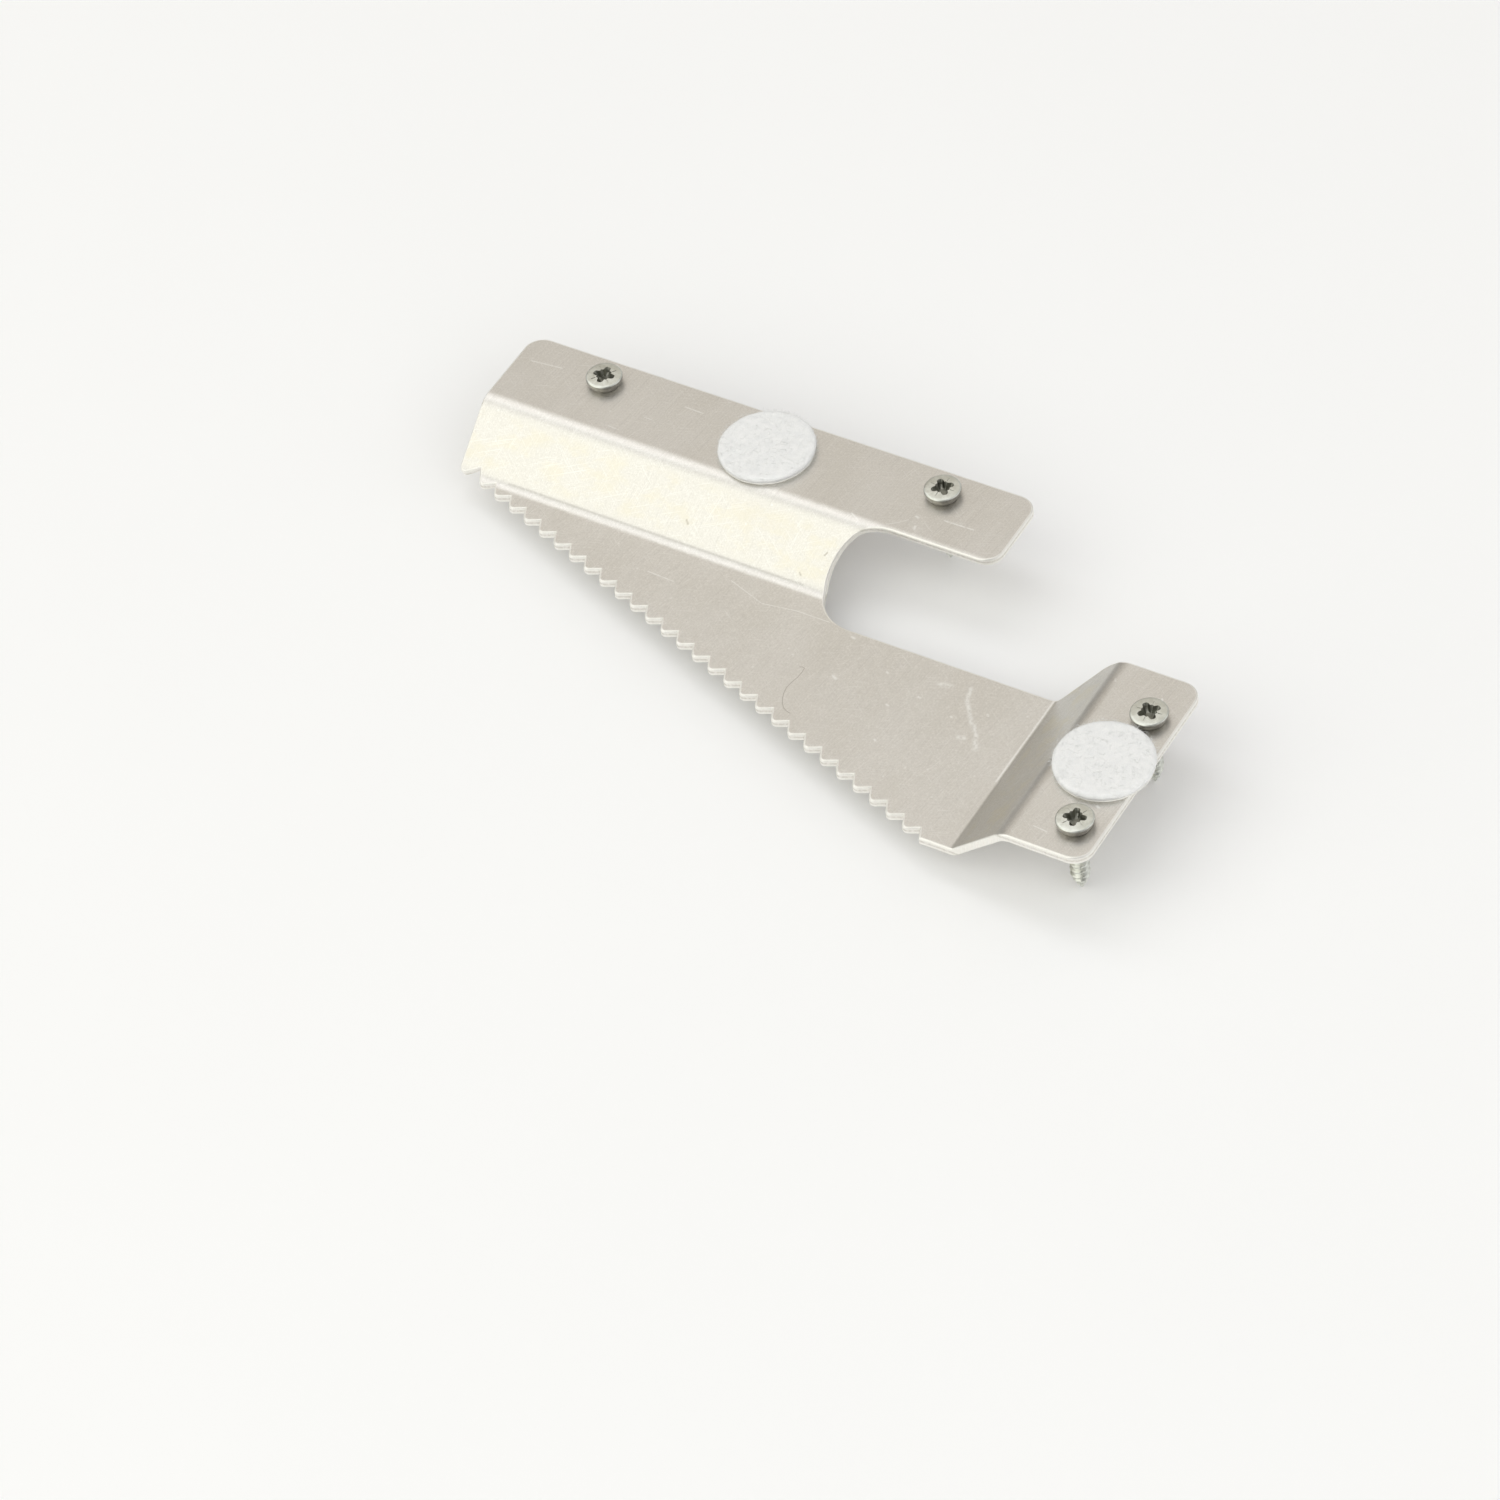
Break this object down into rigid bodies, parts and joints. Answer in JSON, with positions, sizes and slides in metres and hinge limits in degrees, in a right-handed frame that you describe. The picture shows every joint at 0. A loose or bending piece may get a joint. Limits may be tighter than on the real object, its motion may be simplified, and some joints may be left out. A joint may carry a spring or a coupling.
{
  "type": "sawtooth picture hanger",
  "caption": "Bent sheet hanger for the back corner of a picture frame, with screwed flanges, a recessed plate with a toothed edge, and felt wall pads.",
  "frame": {"origin": "the picture frame's outer corner, on the frame's back face that the flanges lie on", "axes": "+X along the long rail towards that corner and beyond, +Y across the long rail to the frame's outside, +Z away from the frame, towards the wall"},
  "size_m": [0.1278, 0.0598, 0.0147],
  "materials": {
    "sheet": "mill finish, satin, lightly scratched",
    "screw": "zinc plated, satin",
    "felt": "pressed white felt",
    "adhesive": "translucent white adhesive film"
  },
  "bodies": {
    "hanger": {"sawtooth_plate": "sheet", "felt_pad_long": "felt", "felt_pad_short": "felt", "adhesive_long": "adhesive", "adhesive_short": "adhesive"},
    "screw_long_left": {"screw_long_left": "screw"},
    "screw_long_right": {"screw_long_right": "screw"},
    "screw_short_far": {"screw_short_far": "screw"},
    "screw_short_near": {"screw_short_near": "screw"}
  },
  "joints": [
    {"name": "screw_long_left_slide", "type": "slide", "parent": "hanger", "child": "screw_long_left", "axis": [0, 0, 1], "range_m": [0, 0.014]},
    {"name": "screw_long_right_slide", "type": "slide", "parent": "hanger", "child": "screw_long_right", "axis": [0, 0, 1], "range_m": [0, 0.014]},
    {"name": "screw_short_far_slide", "type": "slide", "parent": "hanger", "child": "screw_short_far", "axis": [0, 0, 1], "range_m": [0, 0.014]},
    {"name": "screw_short_near_slide", "type": "slide", "parent": "hanger", "child": "screw_short_near", "axis": [0, 0, 1], "range_m": [0, 0.014]}
  ]
}
